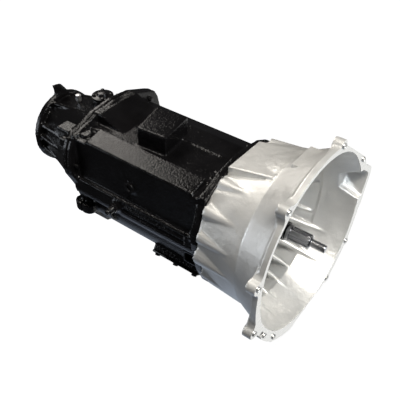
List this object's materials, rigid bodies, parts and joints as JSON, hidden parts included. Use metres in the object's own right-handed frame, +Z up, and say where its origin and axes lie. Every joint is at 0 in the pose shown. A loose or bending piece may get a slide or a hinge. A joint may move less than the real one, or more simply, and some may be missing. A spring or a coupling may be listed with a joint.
{
  "type": "manual transmission",
  "caption": "Heavy-duty manual gearbox with bell housing, splined input shaft, countershaft gear train, synchronised shift sleeves and flanged rear housing.",
  "frame": {"origin": "centre of the bell housing's engine face, on the input shaft's axis", "axes": "+X forward toward the engine along the input shaft, +Z up, -Y the gearbox's right-hand side"},
  "size_m": [0.805, 0.498, 0.4644],
  "materials": {
    "cast_aluminium": "as-cast, light shot-blast texture",
    "black_case": "semi-gloss black paint over rough cast iron",
    "black_cover": "semi-gloss black paint over steel plate",
    "black_bolts": "painted over with the case",
    "zinc_bolts": "zinc plated",
    "machined_steel": "ground and oiled",
    "bright_steel": "polished",
    "gear_steel": "cut and case hardened",
    "fork_steel": "forged, shot blasted",
    "bronze": "turned bronze",
    "seal_rubber": "oil seal rubber"
  },
  "bodies": {
    "root": {"bell_housing": "cast_aluminium", "main_case": "black_case", "rear_housing": "black_case", "bearing_retainer": "black_case", "retainer_bolts": "zinc_bolts", "bell_bolts": "zinc_bolts", "rear_housing_bolts": "black_bolts", "side_cover": "black_cover", "side_cover_bolts": "black_bolts", "far_cover": "black_cover", "far_cover_bolts": "black_bolts", "fill_plug": "black_bolts", "drain_plug": "black_bolts", "breather": "zinc_bolts", "backup_light_switch": "black_bolts", "detent_plugs": "black_bolts", "dowel_pins": "bright_steel", "shift_port_cap": "black_cover", "shift_port_bolts": "black_bolts", "main_bearing_outer_races": "bright_steel", "main_bearing_balls": "bright_steel", "counter_bearing_cups": "bright_steel", "counter_bearing_rollers": "bright_steel", "input_seal": "seal_rubber", "output_seal": "seal_rubber", "tail_bush": "bronze", "reverse_idler_shaft": "machined_steel"},
    "input": {"input_shaft": "machined_steel", "input_inner_race": "bright_steel"},
    "output": {"main_shaft": "machined_steel", "main_inner_race": "bright_steel", "gear_bushes": "bronze", "synchro_rings": "bronze", "hub_34": "gear_steel", "hub_12": "gear_steel", "hub_5r": "gear_steel", "pilot_rollers": "bright_steel"},
    "counter": {"countershaft": "gear_steel", "counter_drive_gear": "gear_steel", "counter_third_gear": "gear_steel", "counter_fifth_gear": "gear_steel", "counter_bearing_cones": "bright_steel"},
    "first": {"first_gear": "gear_steel"},
    "second": {"second_gear": "gear_steel"},
    "third": {"third_gear": "gear_steel"},
    "fifth": {"fifth_gear": "gear_steel"},
    "reverse": {"reverse_gear": "gear_steel"},
    "idler": {"reverse_idler_gear": "gear_steel", "idler_bush": "bronze"},
    "rail_12": {"rail_12": "machined_steel", "fork_12": "fork_steel"},
    "rail_34": {"rail_34": "machined_steel", "fork_34": "fork_steel"},
    "rail_5r": {"rail_5r": "machined_steel", "fork_5r": "fork_steel"},
    "sleeve_12": {"sleeve_12": "gear_steel"},
    "sleeve_34": {"sleeve_34": "gear_steel"},
    "sleeve_5r": {"sleeve_5r": "gear_steel"}
  },
  "joints": [
    {"name": "input_spin", "type": "hinge", "parent": "root", "child": "input", "pos_m": [-0.3, 0, 0], "axis": [1, 0, 0], "continuous": true},
    {"name": "output_spin", "type": "hinge", "parent": "root", "child": "output", "pos_m": [-0.3, 0, 0], "axis": [1, 0, 0], "continuous": true},
    {"name": "counter_spin", "type": "hinge", "parent": "root", "child": "counter", "pos_m": [-0.3, 0, -0.112], "axis": [1, 0, 0], "continuous": true},
    {"name": "first_gear_spin", "type": "hinge", "parent": "root", "child": "first", "pos_m": [-0.3, 0, 0], "axis": [1, 0, 0], "continuous": true},
    {"name": "second_gear_spin", "type": "hinge", "parent": "root", "child": "second", "pos_m": [-0.3, 0, 0], "axis": [1, 0, 0], "continuous": true},
    {"name": "third_gear_spin", "type": "hinge", "parent": "root", "child": "third", "pos_m": [-0.3, 0, 0], "axis": [1, 0, 0], "continuous": true},
    {"name": "fifth_gear_spin", "type": "hinge", "parent": "root", "child": "fifth", "pos_m": [-0.3, 0, 0], "axis": [1, 0, 0], "continuous": true},
    {"name": "reverse_gear_spin", "type": "hinge", "parent": "root", "child": "reverse", "pos_m": [-0.3, 0, 0], "axis": [1, 0, 0], "continuous": true},
    {"name": "idler_spin", "type": "hinge", "parent": "root", "child": "idler", "pos_m": [-0.53, -0.06135, -0.0937], "axis": [1, 0, 0], "continuous": true},
    {"name": "rail_12_slide", "type": "slide", "parent": "root", "child": "rail_12", "axis": [1, 0, 0], "range_m": [-0.011, 0.011]},
    {"name": "sleeve_12_slide", "type": "slide", "parent": "output", "child": "sleeve_12", "axis": [1, 0, 0], "range_m": [-0.011, 0.011]},
    {"name": "rail_34_slide", "type": "slide", "parent": "root", "child": "rail_34", "axis": [1, 0, 0], "range_m": [-0.011, 0.011]},
    {"name": "sleeve_34_slide", "type": "slide", "parent": "output", "child": "sleeve_34", "axis": [1, 0, 0], "range_m": [-0.011, 0.011]},
    {"name": "rail_5r_slide", "type": "slide", "parent": "root", "child": "rail_5r", "axis": [1, 0, 0], "range_m": [-0.011, 0.011]},
    {"name": "sleeve_5r_slide", "type": "slide", "parent": "output", "child": "sleeve_5r", "axis": [1, 0, 0], "range_m": [-0.011, 0.011]}
  ],
  "couplings": [
    {"joint": "counter_spin", "follows": "input_spin", "ratio": -0.6},
    {"joint": "first_gear_spin", "follows": "input_spin", "ratio": 0.2},
    {"joint": "second_gear_spin", "follows": "input_spin", "ratio": 0.36},
    {"joint": "third_gear_spin", "follows": "input_spin", "ratio": 0.6},
    {"joint": "fifth_gear_spin", "follows": "input_spin", "ratio": 1.2},
    {"joint": "idler_spin", "follows": "input_spin", "ratio": 0.36},
    {"joint": "reverse_gear_spin", "follows": "input_spin", "ratio": -0.2},
    {"joint": "sleeve_12_slide", "follows": "rail_12_slide", "ratio": 1},
    {"joint": "sleeve_34_slide", "follows": "rail_34_slide", "ratio": 1},
    {"joint": "sleeve_5r_slide", "follows": "rail_5r_slide", "ratio": 1}
  ]
}
